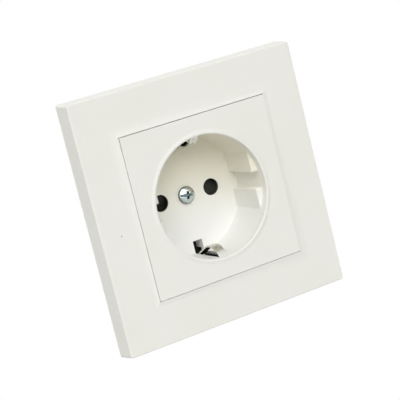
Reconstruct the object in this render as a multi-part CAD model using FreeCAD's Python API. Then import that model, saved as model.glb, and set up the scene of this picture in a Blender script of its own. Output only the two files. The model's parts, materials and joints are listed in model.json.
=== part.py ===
import FreeCAD, Part
import math
import os

# Flush wall socket, type F, one gang, with a square cover frame. Millimetres.
# The wall is the plane y = 0, +Y goes into the wall, +Z is up, and the origin
# lies on the socket's axis. The pins of a plug go in along +Y.

# Cover frame
frame_side = 81.0
frame_front = 7.2
frame_lean = 0.4
frame_wall = 2.0
frame_corner_radius = 0.8
frame_edge_radius = 0.4
plinth_width = 2.3
plinth_rise = 0.5
plinth_land = 0.2
collar_wall = 1.6
ledge_width = 2.0
ledge_thick = 1.4
frame_rib_thick = 1.2
frame_rib_place = 15.0
frame_rib_clear = 0.8

# Centre plate and its recess
plate_side = 52.4
plate_thick = 2.0
plate_gap = 0.15
plate_corner_radius = 0.4
skirt_wall = 1.2
skirt_height = 1.2
plate_rib_thick = 1.0
plate_rib_height = 3.2
recess_radius = 19.7
recess_draft = 0.3
recess_depth = 17.8
recess_fillet = 0.8
cup_wall = 1.4
floor_thick = 1.8
floor_over_shutter = 1.0
rim_width = 1.8
rim_rise = 0.4
rim_crest = 0.5
rim_facets = 8
guide_inset = 2.5
guide_groove = 2.7
guide_front = 2.6
guide_edge_radius = 0.4
pin_spacing = 19.0
pin_hole_radius = 2.75
earth_slot_half = 1.7
earth_slot_reach = 4.4
earth_slot_front = 1.9
shroud_wall = 1.2
shroud_length = 3.0
shroud_inset = 1.4
boss_radius = 2.6

# Centre screw and nut
screw_radius = 1.7
screw_clear = 0.2
screw_head_radius = 2.85
screw_head_rim = 0.6
screw_head_dome = 1.1
screw_cross_length = 3.6
screw_cross_width = 0.9
screw_cross_depth = 1.3
screw_slot_width = 0.7
screw_slot_depth = 0.8
screw_tip = 1.1
nut_side = 6.5
nut_thick = 2.5
thread_gap = 0.04

# Shutter and its spring
shutter_pad_radius = 3.7
shutter_bar_half = 2.6
shutter_hub_radius = 5.0
shutter_thick = 1.5
shutter_gap = 0.2
shutter_ramp_drop = 1.5
sleeve_wall = 0.65
sleeve_length = 1.2
spring_thick = 0.25
spring_width = 0.8
spring_pitch = 0.6
spring_half_turns = 5
spring_leg = 3.5
spring_post_radius = 0.8

# Base block and rear cover
base_width = 42.8
base_height = 43.3
base_corner_radius = 7.0
base_gap = 0.2
base_depth = 17.7
pocket_radius = 13.8
pocket_depth = 3.1
pocket_web = 1.4
pin_way_radius = 2.95
chamber_inner = 5.2
chamber_half = 5.4
terminal_half = 4.3
side_wall = 1.5
earth_pocket_clear = 0.3
earth_pocket_depth = 3.9
tower_half = 5.5
tower_wall = 1.25
tower_gap = 0.25
tower_front_gap = 0.1
tower_cheek = 1.3
tower_root = 6.0
tower_foot = 2.0
access_clear = 0.35
lid_thick = 1.6
wire_way_clear = 0.3

# Pin contacts and wire terminals
contact_thick = 0.8
contact_width = 5.2
contact_bend = 1.0
contact_pinch = 4.6
contact_flare = 6.6
contact_pinch_depth = 3.0
contact_entry_gap = 0.3
jaw_half = 4.0
jaw_length = 7.0
jaw_from_back = 5.8
tail_half = 1.8
wire_gap = 2.0
saddle_thick = 0.8
saddle_lip = 0.6
terminal_screw_radius = 1.5
terminal_head_radius = 2.75
terminal_head_height = 2.0
terminal_slot_width = 0.8
terminal_slot_depth = 0.9
terminal_screw_past = 1.6

# Earth bracket: one bent strip with a clip at each end
earth_thick = 0.6
earth_bend = 0.7
earth_clip_half = 1.45
earth_arm_half = 4.0
earth_taper = 3.0
earth_apex_depth = 8.2
earth_apex_inset = 3.5
earth_clip_curve = 6.8
earth_clip_fall = 58.0
earth_clip_tip = 0.2
earth_turn_depth = 1.8
earth_narrow_depth = 3.0
earth_screw_from_back = 5.0
earth_hole_depth = 3.5

# Mounting strap
strap_frame_gap = 2.6
strap_thick = 1.0
strap_corner_radius = 6.0
strap_cup_clear = 0.5
strap_slot_edge = 5.5
strap_slot_half = 2.0
strap_slot_length = 7.0
strap_notch_clear = 0.8
lug_corner_gap = 0.4
lug_width = 5.6
lug_bend = 1.0
lug_relief = 0.4

# Rivets and small screws
rivet_radius = 1.2
rivet_gap = 0.05
rivet_head_radius = 2.1
rivet_head_height = 0.8
rivet_length = 3.2
rivet_depth = 4.8
bracket_rivet_depth = 8.0
lid_screw_inset_x = 7.9
lid_screw_inset_z = 7.15
lid_screw_radius = 1.0
lid_screw_head_radius = 2.1
lid_screw_head_height = 1.2
lid_screw_length = 7.0

# Places worked out from the sizes above
past = 1.0
plate_front = -(frame_front + plinth_rise)
plate_back = plate_front + plate_thick
ledge_back = plate_back + ledge_thick
frame_ceiling = -(frame_front - frame_wall)
floor_front = plate_front + recess_depth
floor_back = floor_front + floor_thick
cup_radius = recess_radius + cup_wall
guide_chord = recess_radius - guide_inset
earth_slot_inner = recess_radius - earth_slot_reach
shroud_outer = recess_radius - shroud_inset
earth_apex_radius = recess_radius - earth_apex_inset
base_front = floor_back + base_gap
pocket_floor = base_front + pocket_depth
chamber_front = pocket_floor + pocket_web
base_back = base_front + base_depth
lid_back = base_back + lid_thick
bridge_back = lid_back + earth_thick
nut_back = bridge_back + nut_thick
pin_place = pin_spacing / 2
opening_side = plate_side + 2 * plate_gap
ledge_side = opening_side - 2 * ledge_width
collar_side = opening_side + 2 * collar_wall
skirt_side = ledge_side - 2 * plate_gap
cavity_side = frame_side - 2 * frame_lean - 2 * frame_wall
base_top = base_height / 2
base_flank = base_width / 2
arm_outer = base_top + earth_thick
tower_inner = cup_radius + tower_gap
tower_outer = tower_inner + tower_wall
tower_front = ledge_back + tower_front_gap
tower_bridge = floor_back - past
lid_screw_x = base_flank - lid_screw_inset_x
lid_screw_z = base_top - lid_screw_inset_z
jaw_place = base_flank - terminal_head_height - saddle_thick - wire_gap - contact_thick
jaw_face = jaw_place + contact_thick
saddle_face = jaw_face + wire_gap
head_seat = saddle_face + saddle_thick
terminal_depth = base_back - jaw_from_back
earth_wire_face = arm_outer + wire_gap
earth_head_seat = earth_wire_face + saddle_thick
earth_terminal_depth = base_back - earth_screw_from_back
shutter_front = base_front + shutter_gap / 2
shutter_back = shutter_front + shutter_thick
pad_front = floor_front + floor_over_shutter + shutter_gap
hub_bore = boss_radius + shutter_gap
sleeve_radius = hub_bore + sleeve_wall
spring_first = sleeve_radius + spring_thick / 2
spring_front = shutter_back + shutter_gap
strap_side = cavity_side - 2 * strap_frame_gap
strap_slot_spacing = strap_side - 2 * strap_slot_edge
lug_place = base_flank - base_corner_radius - lug_corner_gap - lug_width / 2
lug_inner = lug_place - lug_width / 2
rivet_depth_y = base_front + rivet_depth
bracket_rivet_y = base_front + bracket_rivet_depth


def vec(x, y, z):
    return FreeCAD.Vector(x, y, z)


def box(x0, x1, y0, y1, z0, z1):
    return Part.makeBox(x1 - x0, y1 - y0, z1 - z0, vec(x0, y0, z0))


def round_y(radius, y0, y1, x=0.0, z=0.0):
    return Part.makeCylinder(radius, y1 - y0, vec(x, y0, z), vec(0, 1, 0))


def round_x(radius, x0, x1, y, z=0.0):
    return Part.makeCylinder(radius, x1 - x0, vec(x0, y, z), vec(1, 0, 0))


def round_z(radius, z0, z1, x, y):
    return Part.makeCylinder(radius, z1 - z0, vec(x, y, z0), vec(0, 0, 1))


def outline(width, height, radius, y):
    """Closed rectangle with rounded corners in the plane at y."""
    a = width / 2 - radius
    b = height / 2 - radius
    if radius <= 0:
        corners = [vec(-a, y, -b), vec(a, y, -b), vec(a, y, b), vec(-a, y, b)]
        return Part.makePolygon(corners + corners[:1])
    edges = []
    quarter = radius * math.sqrt(0.5)
    for x_sign, z_sign, turned in ((1, -1, False), (1, 1, True), (-1, 1, False), (-1, -1, True)):
        along_x = vec(x_sign * a, y, z_sign * (b + radius))
        along_z = vec(x_sign * (a + radius), y, z_sign * b)
        middle = vec(x_sign * (a + quarter), y, z_sign * (b + quarter))
        ends = (along_z, along_x) if turned else (along_x, along_z)
        if edges:
            edges.append(Part.LineSegment(edges[-1].lastVertex(True).Point, ends[0]).toShape())
        edges.append(Part.Arc(ends[0], middle, ends[1]).toShape())
    closing = Part.LineSegment(edges[-1].lastVertex(True).Point, edges[0].firstVertex(True).Point)
    return Part.Wire(edges + [closing.toShape()])


def slab(width, height, radius, y0, y1):
    return Part.Face(outline(width, height, radius, y0)).extrude(vec(0, y1 - y0, 0))


def square(side, y0, y1, radius=0.0):
    return slab(side, side, radius, y0, y1)


def frustum(side0, y0, side1, y1, radius=0.0):
    return Part.makeLoft([outline(side0, side0, radius, y0), outline(side1, side1, radius, y1)], True, True)


def spin(edges):
    """Solid of revolution about the socket's axis, from edges in the plane z = 0."""
    return Part.Face(Part.Wire(edges)).revolve(vec(0, 0, 0), vec(0, 1, 0), 360)


def path(points):
    """Straight edges between points given as (radius, y)."""
    return [Part.LineSegment(vec(r0, y0, 0), vec(r1, y1, 0)).toShape()
            for (r0, y0), (r1, y1) in zip(points, points[1:])]


def bent_strip(points, bend, thick, place, along):
    """Sheet strip of even thickness that follows the middle line through points.

    A point is (a, b), or (a, b, radius) where its bend has a radius of its own.

    place turns a point (a, b) of the middle line into a place in space, and along
    is the strip's width as a vector.
    """
    spots = [FreeCAD.Vector(point[0], point[1], 0) for point in points]
    radii = [point[2] if len(point) > 2 else bend for point in points]
    sides = {1: [], -1: []}
    last = len(spots) - 1
    for index, spot in enumerate(spots):
        before = (spot - spots[index - 1]).normalize() if index > 0 else None
        after = (spots[index + 1] - spot).normalize() if index < last else None
        if before is None or after is None:
            way = after or before
            normal = FreeCAD.Vector(-way.y, way.x, 0)
            for sign in sides:
                sides[sign].append([spot + normal * (sign * thick / 2)])
            continue
        turn = before.getAngle(after)
        left = 1 if before.x * after.y - before.y * after.x > 0 else -1
        reach = radii[index] * math.tan(turn / 2)
        inward = (after - before).normalize()
        centre = spot + inward * (radii[index] / math.cos(turn / 2))
        for sign in sides:
            radius = radii[index] - sign * left * thick / 2
            start = spot - before * reach + FreeCAD.Vector(-before.y, before.x, 0) * (sign * thick / 2)
            end = spot + after * reach + FreeCAD.Vector(-after.y, after.x, 0) * (sign * thick / 2)
            sides[sign].append([start, centre - inward * radius, end])
    route = sides[1] + [list(reversed(stop)) for stop in reversed(sides[-1])]
    edges = []
    for stop, following in zip(route, route[1:] + route[:1]):
        if len(stop) == 3:
            edges.append(Part.Arc(*[place(p.x, p.y) for p in stop]).toShape())
        edges.append(Part.LineSegment(place(stop[-1].x, stop[-1].y),
                                      place(following[0].x, following[0].y)).toShape())
    return Part.Face(Part.Wire(edges)).extrude(along)


def mirrored(shape, normal):
    return shape.mirror(vec(0, 0, 0), normal)


def both_sides(shape, normal):
    """The shape and its mirror image across the plane through the axis."""
    return [shape, mirrored(shape, normal)]


def tidy(shape):
    """One clean solid, or a set of them for a node that is a set."""
    cleaned = shape.removeSplitter()
    return cleaned.Solids[0] if len(cleaned.Solids) == 1 else cleaned


def make_cover_frame():
    body = frustum(frame_side, 0, frame_side - 2 * frame_lean, -frame_front, frame_corner_radius)
    rim = [edge for edge in body.Edges
           if all(abs(vertex.Point.y + frame_front) < frame_edge_radius / 10 for vertex in edge.Vertexes)]
    body = body.makeFillet(frame_edge_radius, rim)
    plinth = frustum(opening_side + 2 * plinth_width, -frame_front,
                     opening_side + 2 * plinth_land, plate_front)
    cavity = square(cavity_side, frame_ceiling, past)
    cavity = cavity.cut(square(collar_side, frame_ceiling, ledge_back))
    window = square(opening_side, plate_front - past, plate_back)
    window = window.fuse(square(ledge_side, plate_back, past))
    frame = body.fuse(plinth).cut(cavity).cut(window)
    rib_back = -strap_thick - frame_rib_clear
    rib = box(-frame_rib_thick / 2, frame_rib_thick / 2, frame_ceiling, rib_back,
              collar_side / 2, cavity_side / 2)
    ribs = []
    for quarter_turn in range(4):
        for offset in (-frame_rib_place, frame_rib_place):
            placed = rib.translated(vec(offset, 0, 0))
            ribs.append(placed.rotated(vec(0, 0, 0), vec(0, 1, 0), 90 * quarter_turn))
    return frame.fuse(ribs)


def make_recess():
    """Hollow of the cup: drafted wall, rounded into the floor."""
    floor_radius = recess_radius - recess_draft
    corner = recess_fillet * (1 - math.sqrt(0.5))
    mouth = plate_front - rim_rise - past
    return spin(path([(floor_radius - recess_fillet, floor_front), (0, floor_front), (0, mouth),
                      (recess_radius, mouth), (recess_radius, plate_front),
                      (floor_radius, floor_front - recess_fillet),
                      (floor_radius - corner, floor_front - corner),
                      (floor_radius - recess_fillet, floor_front)]))


def make_rim():
    """Lip round the mouth of the recess: it swells out of the plate and rolls over into the wall."""
    base = plate_front + plate_thick / 2
    swell = rim_width - rim_crest
    bead = [(recess_radius + rim_width, plate_front)]
    for step in range(1, rim_facets // 2 + 1):
        share = 2 * step / rim_facets
        height = rim_rise * math.sin(share * math.pi / 2) ** 2
        bead.append((recess_radius + rim_width - swell * share, plate_front - height))
    for step in range(1, rim_facets // 2):
        angle = math.pi * step / rim_facets
        radius = recess_radius + rim_crest * (1 - math.sin(angle))
        bead.append((radius, plate_front - rim_rise * math.cos(angle)))
    bead.append((recess_radius, plate_front))
    return spin(path([bead[-1], (recess_radius, base), (recess_radius + rim_width, base)] + bead))


def make_guides():
    """Two pairs of guide blocks, each pair with a groove between."""
    front = plate_front + guide_front
    reach = recess_radius + cup_wall / 2
    block = box(guide_chord, reach, front, floor_front + floor_thick / 2, guide_groove, reach)
    soft = [edge for edge in block.Edges
            if sum((all(abs(v.Point.x - guide_chord) < 1e-6 for v in edge.Vertexes),
                    all(abs(v.Point.y - front) < 1e-6 for v in edge.Vertexes),
                    all(abs(v.Point.z - guide_groove) < 1e-6 for v in edge.Vertexes))) == 2]
    block = block.makeFillet(guide_edge_radius, soft)
    block = block.common(round_y(reach, front - past, floor_back))
    return [guide for right in both_sides(block, vec(0, 0, 1)) for guide in both_sides(right, vec(1, 0, 0))]


def make_earth_slot():
    """Upper earth slot through the cup's wall and floor."""
    outer = cup_radius + plate_gap
    return box(-earth_slot_half, earth_slot_half, plate_front + earth_slot_front,
               floor_back + shroud_length + past, earth_slot_inner, outer)


def make_centre_plate():
    plate = square(plate_side, plate_front, plate_back, plate_corner_radius)
    skirt = square(skirt_side, plate_back, plate_back + skirt_height)
    skirt = skirt.cut(square(skirt_side - 2 * skirt_wall, plate_back, plate_back + skirt_height))
    cup = round_y(cup_radius, plate_front + plate_thick / 2, floor_back)
    rib = box(-plate_rib_thick / 2, plate_rib_thick / 2, plate_back, plate_back + plate_rib_height,
              recess_radius + cup_wall / 2, skirt_side)
    inside = square(skirt_side - skirt_wall, plate_back, floor_back)
    ribs = [rib.rotated(vec(0, 0, 0), vec(0, 1, 0), 45 + 90 * turn).common(inside) for turn in range(4)]
    shroud_side = earth_slot_half + shroud_wall
    shroud = box(-shroud_side, shroud_side, floor_back - floor_thick / 2, floor_back + shroud_length,
                 earth_slot_inner - shroud_wall, shroud_outer)
    boss = round_y(boss_radius, floor_back - floor_thick / 2, pocket_floor - shutter_gap)
    solid = plate.fuse([skirt, cup, make_rim(), boss] + ribs + both_sides(shroud, vec(0, 0, 1)))
    solid = solid.cut(make_recess()).fuse(make_guides())
    ring = round_y(pocket_radius - base_gap, floor_front + floor_over_shutter, floor_back)
    ring = ring.cut(round_y(shutter_hub_radius + shutter_gap, floor_front, floor_back))
    cuts = [ring, round_y(screw_radius + screw_clear, floor_front - past, pocket_floor)]
    cuts += [round_y(pin_hole_radius, floor_front - past, floor_back, x) for x in (-pin_place, pin_place)]
    cuts += both_sides(make_earth_slot(), vec(0, 0, 1))
    return solid.cut(cuts)


def make_centre_screw():
    """Domed screw with a cross and a slot across it, from the recess floor to past the nut."""
    rim = floor_front - screw_head_rim
    crown = rim - screw_head_dome
    ball = (screw_head_radius ** 2 + screw_head_dome ** 2) / (2 * screw_head_dome)
    half_angle = math.asin(screw_head_radius / ball) / 2
    middle = vec(ball * math.sin(half_angle), crown + ball * (1 - math.cos(half_angle)), 0)
    edges = path([(screw_head_radius, rim), (screw_head_radius, floor_front), (screw_radius, floor_front),
                  (screw_radius, nut_back + screw_tip), (0, nut_back + screw_tip), (0, crown)])
    edges.append(Part.Arc(vec(0, crown, 0), middle, vec(screw_head_radius, rim, 0)).toShape())
    half = screw_cross_width / 2
    reach = screw_cross_length / 2
    cross = box(-reach, reach, crown - past, crown + screw_cross_depth, -half, half)
    cross = cross.fuse(cross.rotated(vec(0, 0, 0), vec(0, 1, 0), 90))
    slot = box(-screw_head_radius, screw_head_radius, crown - past, crown + screw_slot_depth,
               -screw_slot_width / 2, screw_slot_width / 2)
    return spin(edges).cut([cross, slot])


def make_centre_nut():
    return square(nut_side, bridge_back, nut_back).cut(
        round_y(screw_radius + thread_gap, bridge_back, nut_back))


def make_shutter():
    """Two-armed shutter with a ramp on each pad, on a sleeve that carries the spring."""
    hub = round_y(shutter_hub_radius, shutter_front, shutter_back)
    sleeve = round_y(sleeve_radius, shutter_back, shutter_back + sleeve_length)
    bar = box(-pin_place, pin_place, shutter_front, shutter_back, -shutter_bar_half, shutter_bar_half)
    pad = round_y(shutter_pad_radius, pad_front, shutter_back, pin_place)
    low = pad_front + shutter_ramp_drop
    r = shutter_pad_radius + shutter_gap
    corners = [vec(pin_place - r, y, z) for y, z in ((pad_front, -r / 2), (pad_front, r), (low, r))]
    wedge = Part.Face(Part.makePolygon(corners + corners[:1]))
    pad = pad.cut(wedge.extrude(vec(2 * r, 0, 0)))
    pads = [pad, pad.rotated(vec(0, 0, 0), vec(0, 1, 0), 180)]
    body = hub.fuse([sleeve, bar] + pads)
    bore = round_y(hub_bore, pad_front, shutter_back + sleeve_length)
    return body.cut(bore)


def spring_side(offset):
    """One face of the spiral, offset from its middle line, as arcs of half a turn and a straight leg."""
    step = spring_pitch / 2
    edges = []
    for half_turn in range(spring_half_turns):
        radius = spring_first + half_turn * step + offset
        side = 1 if half_turn % 2 == 0 else -1
        centre = 0.0 if side == 1 else step
        edges.append(Part.Arc(vec(centre + side * radius, spring_front, 0),
                              vec(centre, spring_front, side * radius),
                              vec(centre - side * radius, spring_front, 0)).toShape())
    end = vec(centre - side * radius, spring_front, 0)
    edges.append(Part.LineSegment(end, vec(end.x, spring_front, -side * spring_leg)).toShape())
    return edges


def make_shutter_spring():
    """Flat spiral of thin strip round the sleeve, with a straight leg to the post on the base."""
    inner = spring_side(-spring_thick / 2)
    outer = spring_side(spring_thick / 2)
    ends = [Part.LineSegment(inner[place].Vertexes[place].Point, outer[place].Vertexes[place].Point).toShape()
            for place in (0, -1)]
    return Part.Face(Part.Wire(Part.__sortEdges__(inner + outer + ends))).extrude(vec(0, spring_width, 0))


def spring_post_place():
    """Where the leg's end leans against the base's post, as x and z."""
    leg = spring_side(spring_thick / 2)[-1].Vertexes[-1].Point
    return leg.x + math.copysign(spring_post_radius, leg.x), leg.z - math.copysign(spring_thick, leg.z)


def make_chamber():
    """Right contact chamber, open to the back, with its terminal bay and the screw's way in."""
    back = base_back + past
    leaves = box(chamber_inner, jaw_place - past, chamber_front, back, -chamber_half, chamber_half)
    bay = box(jaw_place - 2 * past, base_flank - side_wall, chamber_front, back,
              -terminal_half, terminal_half)
    access = round_x(terminal_head_radius + access_clear, saddle_face, base_flank + past, terminal_depth)
    pin_way = round_y(pin_way_radius, pocket_floor - past, chamber_front + past, pin_place)
    return [leaves, bay, access, pin_way]


def make_tower():
    """Dark wall outside the upper earth slot, on two cheeks between which the earth arm comes out."""
    wall = box(-tower_half, tower_half, tower_front, tower_bridge, tower_inner, tower_outer)
    cheek = box(tower_half - tower_cheek, tower_half, tower_bridge, base_front, tower_inner, tower_outer)
    root = box(tower_half - tower_cheek, tower_half, base_front, base_front + tower_root,
               cup_radius - tower_foot, tower_outer)
    return wall.fuse(both_sides(cheek.fuse(root), vec(1, 0, 0)))


def make_socket_base():
    block = slab(base_width, base_height, base_corner_radius, base_front, base_back)
    pocket = round_y(pocket_radius, base_front - past, pocket_floor)
    cuts = [pocket, round_y(screw_radius + screw_clear, pocket_floor - past, base_back + past)]
    for tool in make_chamber():
        cuts += both_sides(tool, vec(1, 0, 0))
    pocket_side = earth_slot_half + shroud_wall + earth_pocket_clear
    earth_pocket = box(-pocket_side, pocket_side, base_front - past, base_front + earth_pocket_depth,
                       earth_slot_inner - shroud_wall - earth_pocket_clear, base_top + past)
    cuts += both_sides(earth_pocket, vec(0, 0, 1))
    hole = rivet_radius + rivet_gap
    strap_hole = round_z(hole, base_top - rivet_length - rivet_gap, base_top + past, lug_place, rivet_depth_y)
    for upper in both_sides(strap_hole, vec(1, 0, 0)):
        cuts += both_sides(upper, vec(0, 0, 1))
    bracket_hole = round_z(hole, base_top - rivet_length - rivet_gap, base_top + past, 0, bracket_rivet_y)
    cuts += both_sides(bracket_hole, vec(0, 0, 1))
    cuts.append(round_z(terminal_screw_radius + screw_clear, -base_top - past, -base_top + earth_hole_depth,
                        0, earth_terminal_depth))
    cuts += [round_y(lid_screw_radius + thread_gap, base_back - lid_screw_length - past, base_back + past,
                     side * lid_screw_x, -side * lid_screw_z) for side in (-1, 1)]
    x, z = spring_post_place()
    post = round_y(spring_post_radius, shutter_back + shutter_gap, pocket_floor + pocket_web / 2, x, z)
    return block.cut(cuts).fuse([post] + both_sides(make_tower(), vec(0, 0, 1)))


def make_rear_cover():
    lid = slab(base_width, base_height, base_corner_radius, base_back, lid_back)
    rim = [edge for edge in lid.Edges
           if all(abs(vertex.Point.y - lid_back) < 1e-6 for vertex in edge.Vertexes)]
    lid = lid.makeChamfer(earth_bend, rim)
    wire_way = box(jaw_face - wire_way_clear, saddle_face + wire_way_clear, base_back - past, lid_back + past,
                   -terminal_half, terminal_half)
    cuts = both_sides(wire_way, vec(1, 0, 0))
    cuts.append(round_y(screw_radius + screw_clear, base_back, lid_back))
    cuts += [round_y(lid_screw_radius + screw_clear, base_back, lid_back,
                     side * lid_screw_x, -side * lid_screw_z) for side in (-1, 1)]
    return lid.cut(cuts)


def make_rear_cover_screws():
    screws = []
    for side in (-1, 1):
        x = side * lid_screw_x
        z = -side * lid_screw_z
        head = round_y(lid_screw_head_radius, lid_back, lid_back + lid_screw_head_height, x, z)
        slot = box(x - lid_screw_head_radius, x + lid_screw_head_radius,
                   lid_back + lid_screw_head_height / 2, lid_back + lid_screw_head_height + past,
                   z - screw_slot_width / 2, z + screw_slot_width / 2)
        shank = round_y(lid_screw_radius, base_back - lid_screw_length, lid_back, x, z)
        screws.append(head.fuse(shank).cut(slot))
    return Part.makeCompound(screws)


def make_right_contact():
    """Sprung leaves that pinch the pin, joined at the back to the fixed jaw of the terminal."""
    half = contact_thick / 2
    web = base_back - half
    entry = chamber_front + contact_entry_gap + half
    pinch_y = entry + contact_pinch_depth
    pinch_z = contact_pinch / 2 + half
    flare_z = contact_flare / 2 + half
    root_z = pinch_z + half
    leaves = bent_strip([(entry, flare_z), (pinch_y, pinch_z), (web, root_z), (web, -root_z),
                         (pinch_y, -pinch_z), (entry, -flare_z)], contact_bend, contact_thick,
                        lambda a, b: vec(pin_place - contact_width / 2, a, b), vec(contact_width, 0, 0))
    jaw_middle = jaw_place + half
    jaw_start = terminal_depth - jaw_length / 2
    tail = bent_strip([(pin_place, web), (jaw_middle, web), (jaw_middle, jaw_start)], contact_bend,
                      contact_thick, lambda a, b: vec(a, b, -tail_half), vec(0, 0, 2 * tail_half))
    jaw = box(jaw_place, jaw_face, jaw_start, jaw_start + jaw_length, -jaw_half, jaw_half)
    hole = round_x(terminal_screw_radius + thread_gap, jaw_place - past, jaw_face + past, terminal_depth)
    return leaves.fuse([tail, jaw]).cut(hole)


def make_saddle(place, along):
    """Clamp plate with turned-in lips, drawn at the origin of its own middle line."""
    half = jaw_length / 2
    flat = half - 2 * saddle_lip
    return bent_strip([(-half, -saddle_lip), (-flat, 0), (flat, 0), (half, -saddle_lip)],
                      contact_bend, saddle_thick, place, along)


def make_right_clamp_plate():
    middle = saddle_face + saddle_thick / 2
    plate = make_saddle(lambda a, b: vec(middle + b, terminal_depth + a, -jaw_half), vec(0, 0, 2 * jaw_half))
    return plate.cut(round_x(terminal_screw_radius + screw_clear, jaw_face, head_seat + past, terminal_depth))


def make_right_terminal_screw():
    crown = head_seat + terminal_head_height
    head = round_x(terminal_head_radius, head_seat, crown, terminal_depth)
    shank = round_x(terminal_screw_radius, jaw_place - terminal_screw_past, head_seat, terminal_depth)
    slot = box(crown - terminal_slot_depth, crown + past,
               terminal_depth - terminal_head_radius, terminal_depth + terminal_head_radius,
               -terminal_slot_width / 2, terminal_slot_width / 2)
    return head.fuse(shank).cut(slot)


def clip_curve(turn, arm):
    """Corner of the clip's curve, with its radius, and the clip's free end.

    The curve tops out at the apex, falls to the free end, and on the other side runs
    straight to the arm, which it meets at the turn.
    """
    y = plate_front + earth_apex_depth
    z = earth_apex_radius + earth_thick / 2 + earth_clip_curve
    away = math.hypot(turn - y, arm - z)
    rise = math.pi / 2 + math.atan2(arm - z, turn - y) - math.acos(earth_clip_curve / away)
    fall = math.radians(earth_clip_fall)
    reach = earth_clip_curve * math.tan((rise + fall) / 2)
    stop = (y - earth_clip_curve * math.sin(fall), z - earth_clip_curve * math.cos(fall))
    corner = (stop[0] + reach * math.cos(fall), stop[1] - reach * math.sin(fall), earth_clip_curve)
    end = (stop[0] - earth_clip_tip * math.cos(fall), stop[1] + earth_clip_tip * math.sin(fall))
    return corner, end


def make_earth_bracket():
    """One bent strip: clip, arm, bridge behind the rear cover, arm, clip."""
    half = earth_thick / 2
    arm = base_top + half
    bridge = lid_back + half
    turn = base_front + earth_turn_depth
    corner, end = clip_curve(turn, arm)
    upper = [end, corner, (turn, arm), (bridge, arm)]
    lower = [(point[0], -point[1]) + point[2:] for point in reversed(upper)]
    strip = bent_strip(upper + lower, earth_bend, earth_thick,
                       lambda a, b: vec(-earth_arm_half, a, b), vec(2 * earth_arm_half, 0, 0))
    narrow = base_front + earth_narrow_depth
    wide = narrow + earth_taper
    reach = bridge_back + past
    nose = plate_front
    side = arm_outer + past
    plan = [(earth_clip_half, nose), (earth_clip_half, narrow),
            (earth_arm_half, wide), (earth_arm_half, reach)]
    corners = [vec(x, y, -side) for x, y in plan]
    corners += [vec(-x, y, -side) for x, y in reversed(plan)]
    blank = Part.Face(Part.makePolygon(corners + corners[:1])).extrude(vec(0, 0, 2 * side))
    holes = [round_y(screw_radius + screw_clear, lid_back - past, bridge_back + past),
             round_z(terminal_screw_radius + thread_gap, -arm_outer - past, -base_top + past,
                     0, earth_terminal_depth)]
    rivet_hole = round_z(rivet_radius + rivet_gap, base_top - past, arm_outer + past, 0, bracket_rivet_y)
    return strip.common(blank).cut(holes + both_sides(rivet_hole, vec(0, 0, 1)))


def make_earth_clamp_plate():
    middle = earth_wire_face + saddle_thick / 2
    plate = make_saddle(lambda a, b: vec(-jaw_half, earth_terminal_depth + a, -middle - b),
                        vec(2 * jaw_half, 0, 0))
    return plate.cut(round_z(terminal_screw_radius + screw_clear, -earth_head_seat - past, -arm_outer,
                             0, earth_terminal_depth))


def make_earth_terminal_screw():
    crown = -earth_head_seat - terminal_head_height
    head = round_z(terminal_head_radius, crown, -earth_head_seat, 0, earth_terminal_depth)
    shank = round_z(terminal_screw_radius, -earth_head_seat, -base_top + earth_hole_depth - past,
                    0, earth_terminal_depth)
    slot = box(-terminal_slot_width / 2, terminal_slot_width / 2,
               earth_terminal_depth - terminal_head_radius, earth_terminal_depth + terminal_head_radius,
               crown - past, crown + terminal_slot_depth)
    return head.fuse(shank).cut(slot)


def make_rivet(x, y, seat):
    """Upper rivet: head on the sheet at seat, shank down into the base."""
    head = round_z(rivet_head_radius, seat, seat + rivet_head_height, x, y)
    crown = [edge for edge in head.Edges if abs(edge.CenterOfMass.z - seat - rivet_head_height) < 1e-6]
    head = head.makeChamfer(rivet_head_height / 2, crown)
    return head.fuse(round_z(rivet_radius, base_top - rivet_length, seat, x, y))


def make_bracket_rivets():
    return Part.makeCompound(both_sides(make_rivet(0, bracket_rivet_y, arm_outer), vec(0, 0, 1)))


def make_strap_rivets():
    rivets = []
    for right in both_sides(make_rivet(lug_place, rivet_depth_y, base_top + strap_thick), vec(1, 0, 0)):
        rivets += both_sides(right, vec(0, 0, 1))
    return Part.makeCompound(rivets)


def make_strap_slot(turn):
    """Slot for a box screw on one side of the strap, with rounded ends."""
    straight = strap_slot_length / 2 - strap_slot_half
    middle = strap_slot_spacing / 2
    slot = box(middle - straight, middle + straight, -strap_thick, 0, -strap_slot_half, strap_slot_half)
    ends = [round_y(strap_slot_half, -strap_thick, 0, middle + side * straight) for side in (-1, 1)]
    return slot.fuse(ends).rotated(vec(0, 0, 0), vec(0, 1, 0), 90 * turn)


def make_mounting_strap():
    sheet = square(strap_side, -strap_thick, 0, strap_corner_radius)
    window = round_y(cup_radius + strap_cup_clear, -strap_thick, 0)
    notch_half = tower_half + strap_notch_clear
    notch_top = tower_outer + strap_notch_clear
    notch = box(-notch_half, notch_half, -strap_thick, 0, -notch_top, notch_top)
    half = strap_thick / 2
    lug_middle = base_top + half
    root = lug_middle + lug_bend + half
    lug_half = lug_width / 2
    bay = box(lug_place - lug_half - lug_relief, lug_place + lug_half + lug_relief, -strap_thick, 0, 0, root)
    lug = bent_strip([(-half, root + strap_thick), (-half, lug_middle),
                      (rivet_depth_y + lug_half, lug_middle)], lug_bend, strap_thick,
                     lambda a, b: vec(lug_inner, a, b), vec(lug_width, 0, 0))
    lug = lug.cut(round_z(rivet_radius + rivet_gap, base_top - past, base_top + strap_thick + past,
                          lug_place, rivet_depth_y))
    bays = []
    lugs = []
    for right_bay, right_lug in zip(both_sides(bay, vec(1, 0, 0)), both_sides(lug, vec(1, 0, 0))):
        bays += both_sides(right_bay, vec(0, 0, 1))
        lugs += both_sides(right_lug, vec(0, 0, 1))
    slots = [make_strap_slot(turn) for turn in range(4)]
    return sheet.cut([window, notch] + bays + slots).fuse(lugs)


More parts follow.
